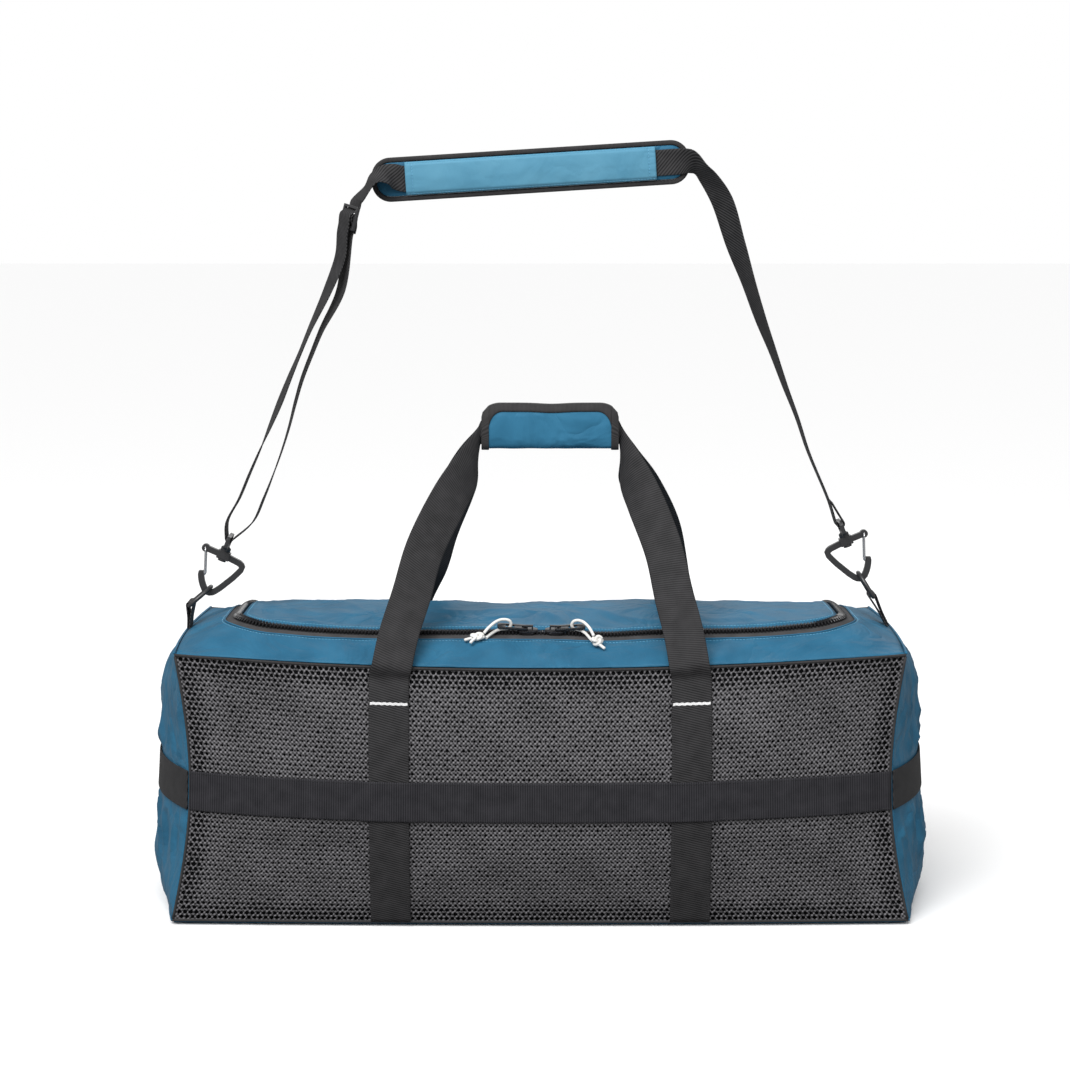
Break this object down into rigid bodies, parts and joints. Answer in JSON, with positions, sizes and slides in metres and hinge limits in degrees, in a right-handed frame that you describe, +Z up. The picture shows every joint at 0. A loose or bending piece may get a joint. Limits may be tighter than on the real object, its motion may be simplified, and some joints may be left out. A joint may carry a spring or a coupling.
{
  "type": "mesh gear bag",
  "caption": "Duffel bag with mesh sides, cloth ends and lid, a U-shaped zip, webbing carry handles joined in a padded wrap, and a padded shoulder strap on snap hooks.",
  "frame": {"origin": "on the floor, under the middle of the bag's bounding box", "axes": "+X along the bag to the right as its front is seen, +Y from the front panel to the back panel, +Z up"},
  "size_m": [0.9046, 0.3952, 0.8845],
  "materials": {
    "blue_cloth": "woven nylon, satin",
    "pale_blue_cloth": "woven nylon, satin",
    "dark_mesh": "knitted mesh, matte",
    "dark_webbing": "ribbed webbing, matte",
    "dark_binding": "fine binding tape, matte",
    "charcoal_band": "ribbed webbing, matte",
    "grey_tape": "zip tape, matte",
    "zip_plastic": "moulded, semi-gloss",
    "hardware_plastic": "moulded, fine grain",
    "gate_wire": "bright wire",
    "white_cord": "braided cord"
  },
  "bodies": {
    "bag": {"base_panel": "blue_cloth", "end_panel_left": "blue_cloth", "end_panel_right": "blue_cloth", "top_surround": "blue_cloth", "lid_panel": "blue_cloth", "handle_wrap": "blue_cloth", "pad_body": "blue_cloth", "pad_sleeve": "pale_blue_cloth", "front_mesh_panel": "dark_mesh", "back_mesh_panel": "dark_mesh", "handle_webbing_front": "dark_webbing", "handle_webbing_back": "dark_webbing", "band_end_left": "dark_webbing", "band_end_right": "dark_webbing", "ring_tab_left": "dark_webbing", "ring_tab_right": "dark_webbing", "shoulder_webbing": "dark_webbing", "handle_wrap_binding": "dark_binding", "pad_binding": "dark_binding", "band_front": "charcoal_band", "band_back": "charcoal_band", "zip_tape_outer": "grey_tape", "zip_tape_inner": "grey_tape", "zip_chain": "zip_plastic", "zip_slider_left": "zip_plastic", "zip_slider_right": "zip_plastic", "zip_pull_left": "zip_plastic", "zip_pull_right": "zip_plastic", "hook_body_left": "hardware_plastic", "hook_body_right": "hardware_plastic", "hook_swivel_left": "hardware_plastic", "hook_swivel_right": "hardware_plastic", "d_ring_left": "hardware_plastic", "d_ring_right": "hardware_plastic", "strap_slider": "hardware_plastic", "zip_cord_left": "white_cord", "zip_cord_right": "white_cord", "zip_knot_left": "white_cord", "zip_knot_right": "white_cord"},
    "gate_left": {"hook_gate_left": "gate_wire"},
    "gate_right": {"hook_gate_right": "gate_wire"}
  },
  "joints": [
    {"name": "gate_left_hinge", "type": "hinge", "parent": "bag", "child": "gate_left", "pos_m": [-0.3935, 0, 0.4097], "axis": [0, -1, 0], "range_deg": [0, 25], "stiffness_Nm_per_rad": 0.02, "springref_deg": -17.19},
    {"name": "gate_right_hinge", "type": "hinge", "parent": "bag", "child": "gate_right", "pos_m": [0.3811, 0, 0.4264], "axis": [0, 1, 0], "range_deg": [0, 25], "stiffness_Nm_per_rad": 0.02, "springref_deg": -17.19}
  ]
}
